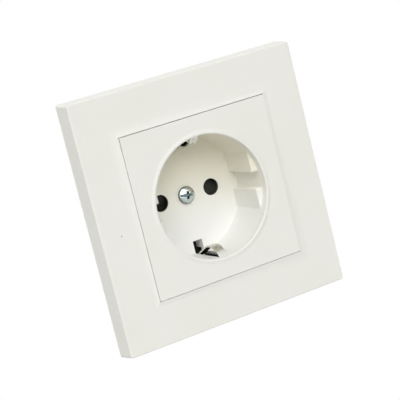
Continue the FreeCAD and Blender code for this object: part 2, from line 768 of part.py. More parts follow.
right_contact = make_right_contact()
right_clamp_plate = make_right_clamp_plate()
right_terminal_screw = make_right_terminal_screw()

nodes = {
    "cover_frame": make_cover_frame(),
    "centre_plate": make_centre_plate(),
    "centre_screw": make_centre_screw(),
    "centre_nut": make_centre_nut(),
    "shutter": make_shutter(),
    "shutter_spring": make_shutter_spring(),
    "socket_base": make_socket_base(),
    "base_rear_cover": make_rear_cover(),
    "rear_cover_screws": make_rear_cover_screws(),
    "right_contact": right_contact,
    "left_contact": mirrored(right_contact, vec(1, 0, 0)),
    "right_clamp_plate": right_clamp_plate,
    "left_clamp_plate": mirrored(right_clamp_plate, vec(1, 0, 0)),
    "right_terminal_screw": right_terminal_screw,
    "left_terminal_screw": mirrored(right_terminal_screw, vec(1, 0, 0)),
    "earth_bracket": make_earth_bracket(),
    "earth_clamp_plate": make_earth_clamp_plate(),
    "earth_terminal_screw": make_earth_terminal_screw(),
    "bracket_rivets": make_bracket_rivets(),
    "mounting_strap": make_mounting_strap(),
    "strap_rivets": make_strap_rivets(),
}

os.makedirs("parts", exist_ok=True)
for name, shape in nodes.items():
    tidy(shape).exportStep("parts/" + name + ".step")
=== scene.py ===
import json
import math

import bmesh
import bpy
from mathutils import Matrix, Quaternion, Vector


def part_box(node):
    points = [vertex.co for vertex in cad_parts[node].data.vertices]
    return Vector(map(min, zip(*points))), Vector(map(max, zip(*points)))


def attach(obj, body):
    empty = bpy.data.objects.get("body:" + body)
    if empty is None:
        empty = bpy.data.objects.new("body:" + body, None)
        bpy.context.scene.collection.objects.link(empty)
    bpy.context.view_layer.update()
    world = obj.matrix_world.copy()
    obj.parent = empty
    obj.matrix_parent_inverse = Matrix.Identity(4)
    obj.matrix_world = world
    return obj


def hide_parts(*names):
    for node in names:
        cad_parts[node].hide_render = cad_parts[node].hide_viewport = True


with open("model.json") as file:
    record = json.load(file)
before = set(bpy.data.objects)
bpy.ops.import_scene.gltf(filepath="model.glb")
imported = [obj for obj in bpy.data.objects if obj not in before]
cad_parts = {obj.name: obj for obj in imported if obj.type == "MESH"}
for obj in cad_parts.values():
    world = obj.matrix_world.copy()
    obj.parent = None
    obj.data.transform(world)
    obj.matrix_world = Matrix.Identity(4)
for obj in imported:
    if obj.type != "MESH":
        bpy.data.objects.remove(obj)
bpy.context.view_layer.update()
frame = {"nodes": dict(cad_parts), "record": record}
record_slots = {part["node"]: part["material_slot"] for part in frame["record"]["subparts"]}

# Sizes in metres, in the frame of the part
mm = 0.001
join_distance = 0.001 * mm
same_place = 0.02 * mm
flat_angle = math.radians(0.2)
crease_angle = math.radians(4)
edge_steps = 2

# Rounding of the moulded edges seen from the front
frame_edge = 0.07 * mm
plate_edge = 0.09 * mm
foot_edge = 1.2 * mm
soft_steps = 5

# Where the solids' moulded surfaces turn, to find their edges
plate_front = -7.7 * mm
recess_radius = 19.7 * mm
recess_floor = 10.1 * mm
rim_width = 1.8 * mm
floor_radius = 19.4 * mm
floor_corner = 0.8 * mm
guide_chord = 17.2 * mm
guide_groove = 2.7 * mm
earth_slot = 1.7 * mm
plinth_foot = 28.65 * mm
frame_front = -7.2 * mm

# Share of the solids' rim height and floor corner that the plate keeps
rim_share = 0.6
corner_share = 0.35

# The plate lies a little to the right in its opening, with wider gaps at its other edges
plate_inside = 25.7 * mm
plate_half = 26.2 * mm
right_shift = 0.1 * mm
left_shift = 0.04 * mm
top_shift = -0.05 * mm
low_shift = 0.03 * mm

# Dark sheets of painted shade in the earth slots, on the base's towers
shade_sheet_inner = 1.53 * mm
shade_sheet_outer = 1.68 * mm
shade_sheet_front = -5.75 * mm
shade_sheet_back = 9.9 * mm
shade_sheet_low = 20.2 * mm
shade_sheet_high = 21.4 * mm
shade_sheet_edge = 0.02 * mm

# Rounding of the edges of the other pieces
edge_radius = {
    "shutter": 0.12 * mm,
    "socket_base": 0.15 * mm,
    "base_rear_cover": 0.12 * mm,
    "earth_bracket": 0.08 * mm,
    "left_contact": 0.08 * mm,
    "right_contact": 0.08 * mm,
    "left_clamp_plate": 0.08 * mm,
    "right_clamp_plate": 0.08 * mm,
    "earth_clamp_plate": 0.08 * mm,
    "left_terminal_screw": 0.12 * mm,
    "right_terminal_screw": 0.12 * mm,
    "earth_terminal_screw": 0.12 * mm,
    "rear_cover_screws": 0.1 * mm,
    "centre_nut": 0.15 * mm,
    "mounting_strap": 0.1 * mm,
    "strap_rivets": 0.12 * mm,
    "bracket_rivets": 0.12 * mm,
}
bevel_angle = math.radians(32)

# Centre screw and its thread
screw_rim = 0.6 * mm
screw_core = 1.42 * mm
screw_pitch = 0.6 * mm
screw_point = screw_core - screw_pitch / 2
screw_under_head = 2.0 * mm
screw_steps = 64
screw_edge = 0.05 * mm
thread_radius = 1.7 * mm
thread_root = screw_core - screw_pitch / 8
thread_crest = screw_pitch / 8
thread_steps = 24

# Cross and slot in the screw's head
cross_length = 3.7 * mm
cross_width = 1.3 * mm
cross_depth = 1.15 * mm
cross_taper = 0.5
slot_width = 0.8 * mm
slot_depth = 0.9 * mm
slot_taper = 1.0
slot_overrun = 1 * mm
screw_turn = math.radians(9)

# Finish of the screw: where its recess darkens with blue-green plating and painted shade, painted shade at
# the rim, turning rings
recess_start = 0.06 * mm
recess_full = 0.35 * mm
rim_shade_width = 0.4 * mm
ring_pitch = 0.22 * mm
screw_finish = (0.16, 0.32)

# Dark speck of dirt on the frame's front
speck_place = (-33.2 * mm, frame_front, -2.8 * mm)
speck_radius = 0.22 * mm

# Painted light and shade in the recess: a paler tone low down and a warmer one towards the top
tint_depth = 3 * mm
tint_height = 14 * mm
tint_fade = 1 * mm

# Painted shade on the walls of the pin holes
pin_place = 9.5 * mm
pin_hole = 2.75 * mm
painted_hole_shade = 0.15 * mm

# Painted shade on the outward side of the bent earth clips: where it ends, and how far outward a face turns
hollow_shade_front = 9 * mm
hollow_shade_back = 10 * mm
hollow_shade_facing = (0.05, 0.4)

# Depth of the relief on each finish
ivory_grain = 0.006 * mm
shutter_grain = 0.008 * mm
base_grain = 0.014 * mm
nickel_lines = 0.0015 * mm
zinc_lines = 0.012 * mm
bronze_lines = 0.008 * mm
wire_lines = 0.004 * mm
ring_depth = 0.0015 * mm

# Noise values between which a finish changes, and scales of a second noise over the first
drift_span = (0.35, 0.65)
patch_span = (0.3, 0.7)
stain_span = (0.42, 0.72)
cool_span = (0.4, 0.7)
warm_span = (0.5, 0.75)
patch_scale_share = 4.3
warm_scale_share = 0.6

# Tones of plastic, dirt, painted shade and metal, as linear red, green and blue
tones = {
    "white": (1.0, 1.0, 1.0),
    "ivory": (0.842, 0.838, 0.784),
    "ivory_shade": (0.832, 0.824, 0.763),
    # recess_low and recess_high paint light and shade into the recess: paler low down, warmer towards the
    # top
    "recess_low": (0.862, 0.863, 0.838),
    "recess_high": (0.862, 0.832, 0.69),
    # painted shade on the pin holes' walls
    "painted_hole_shade": (0.13, 0.12, 0.1),
    "pale_dust": (0.66, 0.63, 0.56),
    "speck": (0.12, 0.1, 0.08),
    "shutter": (0.0105, 0.0105, 0.008),
    "shutter_shade": (0.016, 0.0158, 0.0125),
    "base": (0.016, 0.016, 0.015),
    "base_shade": (0.024, 0.0235, 0.0215),
    "grey_dust": (0.07, 0.066, 0.058),
    "nickel": (0.7, 0.7, 0.665),
    "nickel_stain": (0.6, 0.602, 0.565),
    # painted shade on the hollow side of the earth clips
    "hollow_shade": (0.03, 0.028, 0.022),
    "zinc": (0.66, 0.67, 0.68),
    "zinc_cool": (0.58, 0.63, 0.7),
    "zinc_warm": (0.68, 0.65, 0.56),
    "zinc_stain": (0.57, 0.575, 0.57),
    "screw": (0.6, 0.62, 0.6),
    "screw_cool": (0.47, 0.57, 0.58),
    "screw_warm": (0.62, 0.62, 0.54),
    # blue-green plating in the screw's cross recess, darkened as painted shade
    "screw_recess_tint_and_shade": (0.13, 0.2, 0.195),
    # painted shade at the rim of the screw head
    "screw_rim_shade": (0.16, 0.16, 0.15),
    "bronze": (0.76, 0.5, 0.26),
    "bronze_stain": (0.5, 0.31, 0.16),
    "wire": (0.42, 0.42, 0.43),
    "wire_stain": (0.3, 0.28, 0.26),
    "floor": (0.9, 0.9, 0.9),
}

# Camera; its lens and sensor are in millimetres
camera_place = (-224.9 * mm, -442.8 * mm, 79.5 * mm)
camera_aim = (-4.5 * mm, plate_front, 0.2 * mm)
camera_roll = math.radians(14.03)
camera_lens = 142.5
camera_sensor = 36.0

# Light panels: place in metres and power in watts
panel_size = 1.4
panels = {
    "main_panel": ((-0.9, -1.6, 1.4), 22.6),
    "upper_panel": ((0.0, -2.0, 1.2), 14.6),
    "front_panel": ((-1.0, -2.0, 0.4), 9.2),
    "high_panel": ((-1.1, -0.5, 1.9), 13.6),
    "right_panel": ((1.4, -1.6, 0.5), 6.0),
    "top_panel": ((0.2, 1.0, 1.8), 9.2),
    "side_panel": ((-2.0, 0.8, 0.6), 12.2),
    "back_panel": ((2.2, 0.7, 0.3), 13.0),
}

# Floor, in metres
floor_height = -0.3
floor_half = 0.55
floor_white_share = 0.75


def tone(name):
    """Opaque colour of a named tone."""
    return (*tones[name], 1.0)


def add_node(tree, kind, label, **settings):
    node = tree.nodes.new(kind)
    node.label = label
    for name, value in settings.items():
        setattr(node, name, value)
    return node


def set_inputs(node, **values):
    for name, value in values.items():
        node.inputs[name.replace("_", " ")].default_value = value
    return node


def join(tree, source, target):
    tree.links.new(source, target)


def feed(tree, socket, value):
    """Gives an input its value: links it if the value is a socket, and sets it otherwise."""
    if isinstance(value, bpy.types.NodeSocket):
        join(tree, value, socket)
    else:
        socket.default_value = value


def object_place(tree):
    return add_node(tree, "ShaderNodeTexCoord", "place on the part").outputs["Object"]


def split_vector(tree, label, vector):
    """Sockets of a vector's three directions."""
    parts = add_node(tree, "ShaderNodeSeparateXYZ", label)
    join(tree, vector, parts.inputs["Vector"])
    return parts.outputs


def add_noise(tree, label, place, scale, detail=3.0, roughness=0.5):
    """Noise over the surface; scale is a number per metre or a socket that gives it."""
    noise = add_node(tree, "ShaderNodeTexNoise", label)
    set_inputs(noise, Detail=detail, Roughness=roughness)
    join(tree, place, noise.inputs["Vector"])
    feed(tree, noise.inputs["Scale"], scale)
    return noise.outputs["Fac"]


def add_range(tree, label, value, from_low, from_high, to_low=0.0, to_high=1.0):
    """Turns a value's range into another, eased at both ends; the ends may be sockets."""
    span = add_node(tree, "ShaderNodeMapRange", label, interpolation_type="SMOOTHSTEP")
    join(tree, value, span.inputs["Value"])
    ends = {"From Min": from_low, "From Max": from_high, "To Min": to_low, "To Max": to_high}
    for name, end in ends.items():
        feed(tree, span.inputs[name], end)
    return span.outputs["Result"]


def add_math(tree, label, operation, *values):
    node = add_node(tree, "ShaderNodeMath", label, operation=operation)
    for socket, value in zip(node.inputs, values):
        feed(tree, socket, value)
    return node.outputs["Value"]


def add_vector_math(tree, label, operation, *values):
    node = add_node(tree, "ShaderNodeVectorMath", label, operation=operation)
    for socket, value in zip(node.inputs, values):
        feed(tree, socket, value)
    return node.outputs


def off_axis(tree, place, name):
    """Distance from an axis along Y that the place is measured from."""
    across = add_vector_math(tree, "across " + name, "MULTIPLY", place, (1.0, 0.0, 1.0))["Vector"]
    return add_vector_math(tree, "distance from " + name, "LENGTH", across)["Value"]


def add_blend(tree, label, share, first, second):
    """Colour between first and second; each may be a socket or a colour."""
    node = add_node(tree, "ShaderNodeMix", label, data_type="RGBA")
    colours = [socket for socket in node.inputs if socket.type == "RGBA"]
    for socket, value in zip(colours, (first, second)):
        feed(tree, socket, value)
    feed(tree, node.inputs["Factor"], share)
    return [socket for socket in node.outputs if socket.type == "RGBA"][0]


def new_group(name, inputs, outputs):
    """Empty shader group with named sockets; returns it with its input and output nodes."""
    group = bpy.data.node_groups.new(name, "ShaderNodeTree")
    for label, kind, value in inputs:
        socket = group.interface.new_socket(name=label, in_out="INPUT", socket_type=kind)
        socket.default_value = value
    for label, kind in outputs:
        group.interface.new_socket(name=label, in_out="OUTPUT", socket_type=kind)
    return group, group.nodes.new("NodeGroupInput").outputs, group.nodes.new("NodeGroupOutput").inputs


colour_kind = "NodeSocketColor"
value_kind = "NodeSocketFloat"
vector_kind = "NodeSocketVector"
white = tone("white")
finish_outputs = [("Colour", colour_kind), ("Roughness", value_kind), ("Height", value_kind)]


def build_moulded_skin():
    """Moulded plastic: slow drift of tone, duller and smoother patches, fine grain."""
    group, given, result = new_group(
        "moulded_skin",
        [("Colour", colour_kind, white), ("Shade", colour_kind, white), ("Drift Scale", value_kind, 60.0),
         ("Grain Scale", value_kind, 6000.0), ("Smooth", value_kind, 0.3), ("Dull", value_kind, 0.45)],
        finish_outputs)
    place = object_place(group)
    drift = add_noise(group, "slow drift", place, given["Drift Scale"], detail=4.0, roughness=0.55)
    share = add_range(group, "drift share", drift, *drift_span)
    join(group, add_blend(group, "drifting tone", share, given["Colour"], given["Shade"]), result["Colour"])
    patch_scale = add_math(group, "patch scale", "MULTIPLY", given["Drift Scale"], patch_scale_share)
    patches = add_noise(group, "smooth and dull patches", place, patch_scale, detail=5.0, roughness=0.6)
    join(group, add_range(group, "patch finish", patches, *patch_span, given["Smooth"], given["Dull"]),
         result["Roughness"])
    join(group, add_noise(group, "fine grain", place, given["Grain Scale"], detail=2.0), result["Height"])
    return group


def build_rolled_sheet():
    """Rolled or drawn metal: lines along one direction, stains, finish that changes along the lines."""
    group, given, result = new_group(
        "rolled_sheet",
        [("Colour", colour_kind, white), ("Stain", colour_kind, white),
         ("Stretch", vector_kind, (1.0, 1.0, 1.0)), ("Stain Scale", value_kind, 120.0),
         ("Bright", value_kind, 0.2), ("Dull", value_kind, 0.4)],
        finish_outputs)
    place = object_place(group)
    stretched = add_vector_math(group, "along the strip", "MULTIPLY", place, given["Stretch"])["Vector"]
    lines = add_noise(group, "rolling lines", stretched, scale=1.0, detail=4.0, roughness=0.6)
    stains = add_noise(group, "stains", place, given["Stain Scale"], detail=5.0, roughness=0.6)
    share = add_range(group, "stain share", stains, *stain_span)
    join(group, add_blend(group, "stained tone", share, given["Colour"], given["Stain"]), result["Colour"])
    join(group, add_range(group, "line finish", lines, *patch_span, given["Bright"], given["Dull"]),
         result["Roughness"])
    join(group, lines, result["Height"])
    return group


def build_plating_film():
    """Thin plating: cool and warm tints that drift over the metal."""
    group, given, result = new_group(
        "plating_film",
        [("Colour", colour_kind, white), ("Cool", colour_kind, white), ("Warm", colour_kind, white),
         ("Scale", value_kind, 300.0)],
        [("Colour", colour_kind)])
    place = object_place(group)
    cool = add_noise(group, "cool tint", place, given["Scale"], detail=2.0)
    cool_share = add_range(group, "cool share", cool, *cool_span)
    cooled = add_blend(group, "cooled", cool_share, given["Colour"], given["Cool"])
    warm_scale = add_math(group, "warm scale", "MULTIPLY", given["Scale"], warm_scale_share)
    warm = add_noise(group, "warm tint", place, warm_scale, detail=2.0)
    warm_share = add_range(group, "warm share", warm, *warm_span)
    join(group, add_blend(group, "warmed", warm_share, cooled, given["Warm"]), result["Colour"])
    return group


def build_specks():
    """Mask of sparse small specks of dust."""
    group, given, result = new_group(
        "specks",
        [("Scale", value_kind, 400.0), ("Size", value_kind, 0.06), ("Sparse", value_kind, 0.8)],
        [("Mask", value_kind)])
    cells = add_node(group, "ShaderNodeTexVoronoi", "speck cells")
    join(group, object_place(group), cells.inputs["Vector"])
    join(group, given["Scale"], cells.inputs["Scale"])
    near = add_math(group, "near the middle", "LESS_THAN", cells.outputs["Distance"], given["Size"])
    parts = add_node(group, "ShaderNodeSeparateColor", "cell number")
    join(group, cells.outputs["Color"], parts.inputs["Color"])
    picked = add_math(group, "picked cells", "GREATER_THAN", parts.outputs["Red"], given["Sparse"])
    join(group, add_math(group, "specks", "MULTIPLY", near, picked), result["Mask"])
    return group


moulded_skin = build_moulded_skin()
rolled_sheet = build_rolled_sheet()
plating_film = build_plating_film()
specks = build_specks()


def new_material(name, **constants):
    """Material with a plain shader whose even values are set on its own sockets."""
    material = bpy.data.materials.new(name)
    material.use_nodes = True
    surface = material.node_tree.nodes["Principled BSDF"]
    set_inputs(surface, **constants)
    return material, material.node_tree, surface


def use_group(tree, group, **values):
    """Places a group in a material with its own values."""
    node = add_node(tree, "ShaderNodeGroup", group.name, node_tree=group)
    return set_inputs(node, **values)


def raise_surface(tree, surface, height, depth):
    """Feeds a height to the shader's normal; depth is in metres."""
    bump = add_node(tree, "ShaderNodeBump", "relief")
    set_inputs(bump, Strength=1.0, Distance=depth)
    join(tree, height, bump.inputs["Height"])
    join(tree, bump.outputs["Normal"], surface.inputs["Normal"])


def paint_recess_light_and_shade(tree, colour, place):
    """Paints light and shade into the recess: a paler tone low down and a warmer one towards its top."""
    parts = split_vector(tree, "height and depth", place)
    radius = off_axis(tree, place, "the axis")
    within = add_range(tree, "within the cup", radius, recess_radius + tint_fade, recess_radius)
    deep = add_range(tree, "behind the rim", parts["Y"], plate_front, plate_front + tint_depth)
    inside = add_math(tree, "in the recess", "MULTIPLY", within, deep)
    high = add_range(tree, "high in the recess", parts["Z"], -tint_height, tint_height)
    tint = add_blend(tree, "recess tint", high, tone("recess_low"), tone("recess_high"))
    return add_blend(tree, "recess_painted", inside, colour, tint)


def darken_pin_holes(tree, colour, place):
    """Paints shade on the walls of both pin holes."""
    mirrored = add_vector_math(tree, "either side", "ABSOLUTE", place)["Vector"]
    beside = add_vector_math(tree, "from a pin hole", "SUBTRACT", mirrored, (pin_place, 0.0, 0.0))["Vector"]
    off_hole = off_axis(tree, beside, "the pin hole")
    by_hole = add_range(tree, "wall of a pin hole", off_hole, pin_hole + painted_hole_shade, pin_hole)
    depth = split_vector(tree, "depth", place)["Y"]
    below = add_range(tree, "below the floor", depth, recess_floor, recess_floor + painted_hole_shade)
    painted_shade = add_math(tree, "grime in the holes", "MULTIPLY", by_hole, below)
    return add_blend(tree, "hole_shaded", painted_shade, colour, tone("painted_hole_shade"))


def add_dust(tree, colour, dust_tone, **values):
    """Scatters specks of dust over a colour."""
    dust = use_group(tree, specks, **values)
    return add_blend(tree, "dusty", dust.outputs["Mask"], colour, dust_tone)


def make_ivory_moulding():
    """Off-white satin plastic, with painted light and shade in the recess, painted shade on the pin holes'
    walls, dust and one dark speck on the frame.
    """
    material, tree, surface = new_material("ivory_moulding", IOR=1.5)
    skin = use_group(tree, moulded_skin, Colour=tone("ivory"), Shade=tone("ivory_shade"), Drift_Scale=45.0,
                     Grain_Scale=5200.0, Smooth=0.38, Dull=0.5).outputs
    place = object_place(tree)
    # Painted light and shade in the recess
    recess_painted = paint_recess_light_and_shade(tree, skin["Colour"], place)
    # Painted shade on the walls of the pin holes
    hole_shaded = darken_pin_holes(tree, recess_painted, place)
    dusty = add_dust(tree, hole_shaded, tone("pale_dust"), Scale=330.0, Size=0.035, Sparse=0.86)
    away = add_vector_math(tree, "from the speck", "DISTANCE", place, speck_place)["Value"]
    near = add_range(tree, "speck", away, speck_radius, speck_radius / 2)
    join(tree, add_blend(tree, "specked", near, dusty, tone("speck")), surface.inputs["Base Color"])
    join(tree, skin["Roughness"], surface.inputs["Roughness"])
    raise_surface(tree, surface, skin["Height"], ivory_grain)
    return material


def make_dark_moulding(name, colour, shade, grain_scale, smooth, dull, depth):
    """Dark insulating plastic with a matt moulded skin and grey dust."""
    material, tree, surface = new_material(name, IOR=1.5, Specular_IOR_Level=0.22)
    skin = use_group(tree, moulded_skin, Colour=colour, Shade=shade, Drift_Scale=140.0,
                     Grain_Scale=grain_scale, Smooth=smooth, Dull=dull).outputs
    dusty = add_dust(tree, skin["Colour"], tone("grey_dust"), Scale=900.0, Size=0.12, Sparse=0.7)
    join(tree, dusty, surface.inputs["Base Color"])
    join(tree, skin["Roughness"], surface.inputs["Roughness"])
    raise_surface(tree, surface, skin["Height"], depth)
    return material


def make_sheet_metal(name, colour, stain, stretch, bright, dull, depth):
    """Bare or evenly plated sheet with rolling lines."""
    material, tree, surface = new_material(name, Metallic=1.0)
    sheet = use_group(tree, rolled_sheet, Colour=colour, Stain=stain, Stretch=stretch, Stain_Scale=160.0,
                      Bright=bright, Dull=dull).outputs
    join(tree, sheet["Colour"], surface.inputs["Base Color"])
    join(tree, sheet["Roughness"], surface.inputs["Roughness"])
    raise_surface(tree, surface, sheet["Height"], depth)
    return material


def clip_hollow_shade(tree):
    """Mask of painted shade on the side of the bent clips that faces away from the axis."""
    where = add_node(tree, "ShaderNodeTexCoord", "place and facing").outputs
    place = split_vector(tree, "height and depth", where["Object"])
    facing = split_vector(tree, "facing up or down", where["Normal"])
    side = add_math(tree, "upper or lower clip", "SIGN", place["Z"])
    outward = add_math(tree, "away from the axis", "MULTIPLY", facing["Z"], side)
    hollow = add_range(tree, "hollow side", outward, *hollow_shade_facing)
    clip = add_range(tree, "clips only", place["Y"], hollow_shade_back, hollow_shade_front)
    return add_math(tree, "hollow_shade", "MULTIPLY", hollow, clip)


def make_earth_metal():
    """Nickel-plated strip, with dark painted shade on the side of the clips that faces the slot."""
    material, tree, surface = new_material("nickel_strip", Metallic=1.0)
    sheet = use_group(tree, rolled_sheet, Colour=tone("nickel"), Stain=tone("nickel_stain"),
                      Stretch=(3200.0, 240.0, 240.0), Stain_Scale=160.0, Bright=0.22, Dull=0.32).outputs
    # Painted shade, dark and matt, on the clips' side that faces the slot
    hollow_shade = clip_hollow_shade(tree)
    join(tree, add_blend(tree, "hollow_shaded", hollow_shade, sheet["Colour"], tone("hollow_shade")),
         surface.inputs["Base Color"])
    join(tree, add_math(tree, "duller oxide", "MAXIMUM", hollow_shade, sheet["Roughness"]),
         surface.inputs["Roughness"])
    raise_surface(tree, surface, sheet["Height"], nickel_lines)
    return material


def make_zinc_steel():
    """Zinc-plated steel sheet and screws, with cool and straw tints over the rolling lines."""
    material, tree, surface = new_material("zinc_steel_sheet", Metallic=1.0)
    film = use_group(tree, plating_film, Colour=tone("zinc"), Cool=tone("zinc_cool"),
                     Warm=tone("zinc_warm"), Scale=150.0).outputs
    sheet = use_group(tree, rolled_sheet, Stain=tone("zinc_stain"), Stretch=(260.0, 2600.0, 2600.0),
                      Stain_Scale=220.0, Bright=0.3, Dull=0.5)
    join(tree, film["Colour"], sheet.inputs["Colour"])
    join(tree, sheet.outputs["Colour"], surface.inputs["Base Color"])
    join(tree, sheet.outputs["Roughness"], surface.inputs["Roughness"])
    raise_surface(tree, surface, sheet.outputs["Height"], zinc_lines)
    return material


def dome_ball(crown, rim, head_radius):
    """Radius of the ball that the screw's dome is a cap of."""
    dome = rim - crown
    return (head_radius ** 2 + dome ** 2) / (2 * dome)


def make_screw_plating():
    """Bright zinc on the turned screw head, blue-green plating darkened by painted shade in the recess,
    painted shade at its rim, and faint turning rings.
    """
    material, tree, surface = new_material("screw_plating", Metallic=1.0)
    film = use_group(tree, plating_film, Colour=tone("screw"), Cool=tone("screw_cool"),
                     Warm=tone("screw_warm"), Scale=420.0).outputs
    low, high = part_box("centre_screw")
    ball = dome_ball(low.y, recess_floor - screw_rim, high.x)
    place = object_place(tree)
    dome_middle = (0.0, low.y + ball, 0.0)
    away = add_vector_math(tree, "from the dome's middle", "DISTANCE", place, dome_middle)["Value"]
    # Blue-green plating in the cross recess, darkened as painted shade
    sunk = add_range(tree, "below the dome", away, ball - recess_start, ball - recess_full)
    deep = add_blend(tree, "recess tone", sunk, film["Colour"], tone("screw_recess_tint_and_shade"))
    radius = off_axis(tree, place, "the axis")
    # Painted shade in a ring at the rim of the head
    rim = add_range(tree, "shade at the rim", radius, high.x - rim_shade_width, high.x)
    join(tree, add_blend(tree, "shaded rim", rim, deep, tone("screw_rim_shade")), surface.inputs["Base Color"])
    wear = add_noise(tree, "finish patches", place, scale=900.0, detail=4.0)
    join(tree, add_range(tree, "finish", wear, *patch_span, *screw_finish), surface.inputs["Roughness"])
    turns = add_math(tree, "ring phase", "MULTIPLY", radius, 2 * math.pi / ring_pitch)
    raise_surface(tree, surface, add_math(tree, "turning rings", "SINE", turns), ring_depth)
    return material


materials = {
    "cover_plastic": make_ivory_moulding(),
    "shutter_plastic": make_dark_moulding(
        "shutter_moulding", tone("shutter"), tone("shutter_shade"),
        grain_scale=5000.0, smooth=0.38, dull=0.52, depth=shutter_grain),
    "base_plastic": make_dark_moulding(
        "base_moulding", tone("base"), tone("base_shade"),
        grain_scale=3600.0, smooth=0.45, dull=0.62, depth=base_grain),
    "zinc_steel": make_zinc_steel(),
    "bright_screw": make_screw_plating(),
    "earth_metal": make_earth_metal(),
    "contact_metal": make_sheet_metal(
        "bronze_strip", tone("bronze"), tone("bronze_stain"),
        stretch=(3000.0, 260.0, 3000.0), bright=0.26, dull=0.46, depth=bronze_lines),
    "spring_steel": make_sheet_metal(
        "spring_wire", tone("wire"), tone("wire_stain"),
        stretch=(900.0, 4200.0, 900.0), bright=0.28, dull=0.42, depth=wire_lines),
}


def dress(piece, slot):
    """Gives a piece its finish."""
    piece.data.materials.clear()
    piece.data.materials.append(materials[slot])


def even_shading(piece):
    """Smooth shading that follows the large faces, so flats stay flat between rounded edges."""
    shading = piece.modifiers.new("even_shading", "WEIGHTED_NORMAL")
    shading.mode = "FACE_AREA"
    shading.keep_sharp = True


def add_object(name, data):
    """New object at the origin of the scene."""
    item = bpy.data.objects.new(name, data)
    bpy.context.scene.collection.objects.link(item)
    return item


def add_mesh_object(name, tool):
    """New object from a bmesh, which is freed."""
    mesh = bpy.data.meshes.new(name)
    tool.to_mesh(mesh)
    tool.free()
    return add_object(name, mesh)


def new_piece(name, tool, slot, *nodes):
    """Piece from a bmesh, riding on the socket and standing for the nodes, if any are given."""
    piece = add_mesh_object(name, tool)
    dress(piece, slot)
    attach(piece, "socket")
    if nodes:
        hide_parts(*nodes)
    return piece


def bevel_edges(tool, edges, radius, steps):
    bmesh.ops.bevel(tool, geom=edges, offset=radius, offset_type="OFFSET", affect="EDGES",
                    segments=steps, profile=0.5, material=-1, clamp_overlap=True)


def smooth_faces(tool):
    for face in tool.faces:
        face.smooth = True


def crease(edge, normal_layer):
    """Largest angle between the solid's normals on the two sides of an edge."""
    sides = []
    for loop in edge.link_loops:
        corners = (loop, loop.link_loop_next)
        sides.append({corner.vert: Vector(corner[normal_layer]) for corner in corners})
    return max(sides[0][vert].angle(sides[1][vert], 0.0) for vert in edge.verts)


def along(edge, y, radius, slack):
    """True for an edge of a ring about the axis, near the given y and radius."""
    first, last = (Vector((math.hypot(vert.co.x, vert.co.z), vert.co.y)) for vert in edge.verts)
    level = (first - last).length < same_place
    return level and abs(first.y - y) < slack and abs(first.x - radius) < slack


def on_recess_curve(edge):
    """Edges between the facets of the recess's rolled rim and of its floor corner."""
    rim = along(edge, plate_front, recess_radius + rim_width / 2, rim_width / 2 + same_place)
    return rim or along(edge, recess_floor - floor_corner / 2, floor_radius - floor_corner / 2,
                        floor_corner / 2 + same_place)


def at_plinth_foot(edge):
    """Edges where the plinth's slope meets the frame's front."""
    return all(abs(max(abs(vert.co.x), abs(vert.co.z)) - plinth_foot) < same_place
               and abs(vert.co.y - frame_front) < same_place for vert in edge.verts)


def soften(tool, test, radius):
    """Rounds the creases that the test picks, with a larger radius than the rest."""
    picked = [edge for edge in tool.edges if test(edge) and not edge.smooth]
    for edge in picked:
        edge.smooth = True
    bevel_edges(tool, picked, radius, soft_steps)


def in_floor_corner(distance):
    """True for a distance from the wall or the floor that the floor corner reaches."""
    return -same_place < distance < floor_corner + same_place


def tighten_floor_corner(tool):
    """Draws the facets between the recess's wall and floor closer into the corner."""
    for vert in tool.verts:
        spot = vert.co
        radius = math.hypot(spot.x, spot.z)
        inward = floor_radius - radius
        rise = recess_floor - spot.y
        if not (in_floor_corner(inward) and in_floor_corner(rise)):
            continue
        spot.y = recess_floor - corner_share * rise
        wanted = floor_radius - corner_share * inward
        if min(abs(abs(spot.x) - guide_chord), abs(abs(spot.x) - earth_slot)) < same_place:
            spot.z = math.copysign(math.sqrt(wanted ** 2 - spot.x ** 2), spot.z)
        elif abs(abs(spot.z) - guide_groove) < same_place:
            spot.x = math.copysign(math.sqrt(wanted ** 2 - spot.z ** 2), spot.x)
        else:
            spot.x *= wanted / radius
            spot.z *= wanted / radius


def flatten_rim(tool):
    """Lowers the rolled rim of the recess towards the plate's front."""
    for vert in tool.verts:
        if vert.co.y < plate_front:
            vert.co.y = plate_front + rim_share * (vert.co.y - plate_front)


def shift_plate_edges(tool):
    """Brings the plate's right edge nearer to the frame, and the others away from it."""
    edges = (("x", 1, right_shift), ("x", -1, left_shift), ("z", 1, top_shift), ("z", -1, low_shift))
    for vert in tool.verts:
        for axis, side, shift in edges:
            spot = getattr(vert.co, axis)
            past = (side * spot - plate_inside) / (plate_half - plate_inside)
            if past > 0:
                setattr(vert.co, axis, spot + shift * past)


def copy_with_normals(source):
    """Copy of a node's mesh with its doubles merged, and a layer that keeps the solid's normals."""
    tool = bmesh.new()
    tool.from_mesh(source)
    normal_layer = tool.loops.layers.float_vector.new("solid_normal")
    corners = iter(source.corner_normals)
    for face in tool.faces:
        for loop in face.loops:
            loop[normal_layer] = next(corners).vector
    bmesh.ops.remove_doubles(tool, verts=tool.verts, dist=join_distance)
    return tool, normal_layer


